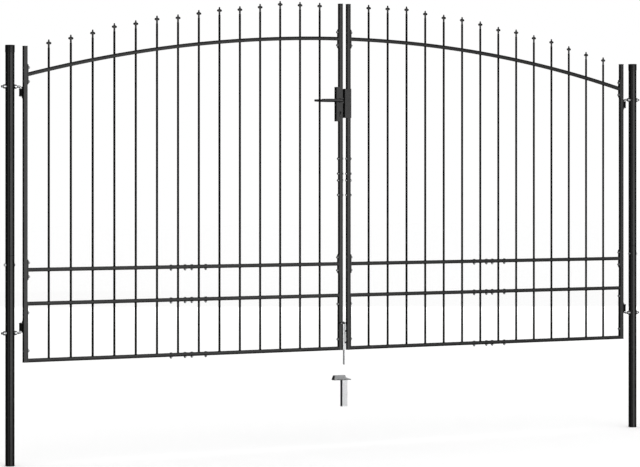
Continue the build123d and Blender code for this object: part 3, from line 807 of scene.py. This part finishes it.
def boltRod():
    # the upright rod: a blunt point below, then the full radius up to a top rounded by a quarter circle
    radius, point, edge = dropBolt["radius"], dropBolt["point"], dropBolt["topRound"]
    angle = np.linspace(0, math.pi / 2, 7)
    profile = [(radius - point, rodLow[2]), (radius, rodLow[2] + point),
               *zip(radius - edge + edge * np.cos(angle), rodHigh[2] - edge + edge * np.sin(angle))]
    return revolve(profile, (boltX, boltY, 0), (0, 0, 1), 32)


def boltArm():
    # a path forwards, a quarter circle and a path to the left, with one round section
    bend = dropBolt["bend"]
    forward = np.linspace(boltY, knobY + bend, 6)
    angle = np.linspace(0, math.pi / 2, 10)[1:]
    left = np.linspace(boltX - bend - 0.002, rodLow[0] + dropBolt["knobLength"] / 2, 6)
    x = np.concatenate([0 * forward + boltX, boltX - bend * (1 - np.cos(angle)), left])
    y = np.concatenate([forward, knobY + bend * (1 - np.sin(angle)), 0 * left + knobY])
    path = np.stack([x, y, 0 * x + knobZ], axis=1)
    return sweep(path, circleSection(dropBolt["armRadius"], 24), (0, 0, 1))


def boltSleeve():
    # a cylinder round the arm with bevelled edges
    near, far = dropBolt["sleeve"]
    radius, bevel = dropBolt["sleeveRadius"], dropBolt["sleeveBevel"]
    profile = [(radius - bevel, near), (radius, near + bevel), (radius, far - bevel), (radius - bevel, far)]
    return revolve(profile, (boltX, knobY, knobZ), (-1, 0, 0), 28)


def boltKnob():
    # quarter circles at both edges of a short cylinder
    edge = dropBolt["knobRound"]
    angle = np.linspace(0, math.pi / 2, 6)
    radius = knobRadius - edge + edge * np.sin(angle)
    near = edge - edge * np.cos(angle)
    far = dropBolt["knobLength"] - edge + edge * np.cos(angle[::-1])
    return revolve([*zip(radius, near), *zip(radius[::-1], far)], (rodLow[0], knobY, knobZ), (1, 0, 0), 32)


def notchShade(z):
    # a thin dark plate with round corners just behind the guide's front: painted shade inside a notch
    outline = roundedRectangle(notch["width"], notch["rise"], notch["round"])
    x = guideHigh[0] - notch["width"] / 2 - notch["inset"] + outline[:, 0]
    return loft([np.stack([x, 0 * x + guideLow[1] + depth, z + outline[:, 1]], axis=1)
                 for depth in notch["depths"]])


addPiece("dropBolt", join([boltRod(), boltArm()]), galvanisedSteel, "drop_bolt", ["drop_bolt_rod"])
addPiece("dropBoltKnob", boltKnob(), zinc, "drop_bolt", ())
addPiece("dropBoltSleeve", boltSleeve(), plastic, "drop_bolt", ())
addPiece("guideNotchShades", join([notchShade(notch["upper"]), notchShade(knobZ - notch["fall"])]), jointAndShadeDark,
         "left_leaf")

# ground socket: the shaded lower edge of its front
socketEdge = {"height": 0.0030, "proud": 0.0002, "into": 0.0006, "leftInset": 0.0008, "rightInset": 0.0030,
              "topBand": 0.001}
socketLow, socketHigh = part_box("socket_plate")
socketPoints = nodePoints("socket_plate")


def socketShade():
    # a strip of parallelogram section that leans back with the front: y = front + lean * (z - base)
    top = socketPoints[socketPoints[:, 2] > socketHigh[2] - socketEdge["topBand"]]
    lean = (top[:, 1].min() - socketLow[1]) / (socketHigh[2] - socketLow[2])
    rise = np.array([0, 1, 1, 0]) * socketEdge["height"]
    depth = np.array([-1, -1, 0, 0]) * socketEdge["proud"] + np.array([0, 0, 1, 1]) * socketEdge["into"]
    ends = (socketLow[0] + socketEdge["leftInset"], socketHigh[0] - socketEdge["rightInset"])
    return loft([np.stack([0 * rise + x, socketLow[1] + depth + lean * rise, socketLow[2] + rise], axis=1)
                 for x in ends])


addPiece("socketEdge", socketShade(), jointAndShadeDark, "posts")
print("drop bolt and socket made")

# materials of the CAD nodes that stay in view
nodeLooks = {
    # the latch tongue takes the black paint as painted shade: it sits in the shaded gap between case and keep
    coat: ("left_end_plates", "right_end_plates", "lock_case", "lock_keep", "lock_cylinder", "latch_tongue"),
    barShadedCoat: ("left_hinge_barrels", "right_hinge_barrels"),
    plastic: ("left_stile_caps", "right_stile_caps"),
    galvanisedSteel: ("drop_bolt_guide", "socket_plate", "socket_tube"),
    zinc: ("lock_spindle",),
}
for material, names in nodeLooks.items():
    for node in names:
        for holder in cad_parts[node].material_slots:
            holder.material = material

# stage: white floor and surroundings, and dark cloths that only reflections see
stage = {"floor": (1.0, 1.0, 1.0), "reach": 60, "fill": 1.0, "flag": (0.01, 0.01, 0.01), "flagRadius": 18,
         "flagHeights": (-12, 15), "flagSides": 48, "rough": 0.95, "gloss": 0.1, "aimHeight": 1.3}

# light panels: place, width, height and power; all of them face the middle of the gate
panels = {"keyLight": ((3.2, -13.0, 1.2), 12.3, 6.0, 440), "rightLight": ((12.5, -12.0, 1.2), 5.5, 6.0, 115),
          "leftLight": ((-10.1, -7.0, 1.2), 7.5, 6.0, 78), "backLight": ((8.0, 12.5, 1.2), 14.0, 6.0, 230),
          "topLight": ((3.5, -9.0, 9.5), 8.0, 5.0, 90)}


def stageMesh(name, corners, faces, colour):
    # a dull mesh of one colour that belongs to the stage
    mesh = bpy.data.meshes.new(name)
    mesh.from_pydata(corners, [], faces)
    material = bpy.data.materials.new(name)
    material.use_nodes = True
    shader = material.node_tree.nodes["Principled BSDF"]
    shader.inputs["Base Color"].default_value = (*colour, 1)
    shader.inputs["Roughness"].default_value = stage["rough"]
    shader.inputs["Specular IOR Level"].default_value = stage["gloss"]
    mesh.materials.append(material)
    obj = bpy.data.objects.new(name, mesh)
    bpy.context.scene.collection.objects.link(obj)
    return obj


reach = stage["reach"]
floorCorners = [(-reach, -reach, 0), (reach, -reach, 0), (reach, reach, 0), (-reach, reach, 0)]
floor = stageMesh("studioFloor", floorCorners, [(0, 1, 2, 3)], stage["floor"])
floor.visible_glossy = False
floor.visible_shadow = False

# the cloths are one closed cylinder: they give metal and paint their dark edges
sides = stage["flagSides"]
turn = np.linspace(0, 2 * math.pi, sides, endpoint=False)
ring = np.stack([gateMiddle + stage["flagRadius"] * np.cos(turn), stage["flagRadius"] * np.sin(turn)], axis=1)
flagRings = np.concatenate([np.column_stack([ring, np.full(sides, z)]) for z in stage["flagHeights"]])
flags = stageMesh("studioFlags", flagRings.tolist(), ringFaces(2, sides), stage["flag"])
flags.visible_camera = False
flags.visible_diffuse = False
flags.visible_transmission = False
flags.visible_shadow = False

# the camera, reflections and light through glass see pure white; all else gets the fill
world = bpy.data.worlds.new("studioWhite")
bpy.context.scene.world = world
world.use_nodes = True
worldNodes, worldLinks = world.node_tree.nodes, world.node_tree.links
soft = worldNodes["Background"]
soft.inputs["Color"].default_value = (1, 1, 1, 1)
soft.inputs["Strength"].default_value = stage["fill"]
white = worldNodes.new("ShaderNodeBackground")
white.inputs["Color"].default_value = (1, 1, 1, 1)
white.inputs["Strength"].default_value = 1
lightPath = worldNodes.new("ShaderNodeLightPath")
seen = lightPath.outputs["Is Camera Ray"]
for other in ("Is Glossy Ray", "Is Transmission Ray"):
    either = worldNodes.new("ShaderNodeMath")
    either.operation = "MAXIMUM"
    worldLinks.new(seen, either.inputs[0])
    worldLinks.new(lightPath.outputs[other], either.inputs[1])
    seen = either.outputs["Value"]
choice = worldNodes.new("ShaderNodeMixShader")
worldLinks.new(seen, choice.inputs["Fac"])
worldLinks.new(soft.outputs["Background"], choice.inputs[1])
worldLinks.new(white.outputs["Background"], choice.inputs[2])
worldLinks.new(choice.outputs["Shader"], worldNodes["World Output"].inputs["Surface"])


def panelLight(name, place, width, height, power):
    # a rectangle of light whose face looks at the middle of the gate
    data = bpy.data.lights.new(name, "AREA")
    data.shape = "RECTANGLE"
    data.size, data.size_y = width, height
    data.energy = power
    panel = bpy.data.objects.new(name, data)
    panel.location = place
    toGate = np.array([gateMiddle, 0, stage["aimHeight"]]) - np.array(place)
    tilt = math.atan2(math.hypot(toGate[0], toGate[1]), -toGate[2])
    panel.rotation_euler = (tilt, 0, math.atan2(-toGate[0], toGate[1]))
    bpy.context.scene.collection.objects.link(panel)


for panelName, values in panels.items():
    panelLight(panelName, *values)

# camera, at the photo's angle: place in metres, turn in degrees, lens and sensor in millimetres
view = {"place": (-3.894, -10.887, 1.4685), "turn": -27.7, "lens": 123.8, "sensor": 36, "shift": -0.0778}
cameraData = bpy.data.cameras.new("camera")
cameraData.lens = view["lens"]
cameraData.sensor_width = view["sensor"]
cameraData.shift_y = view["shift"]
camera = bpy.data.objects.new("camera", cameraData)
camera.location = view["place"]
camera.rotation_euler = (math.radians(90), 0, math.radians(view["turn"]))
bpy.context.scene.collection.objects.link(camera)
bpy.context.scene.camera = camera
bpy.context.scene.view_settings.view_transform = "Standard"
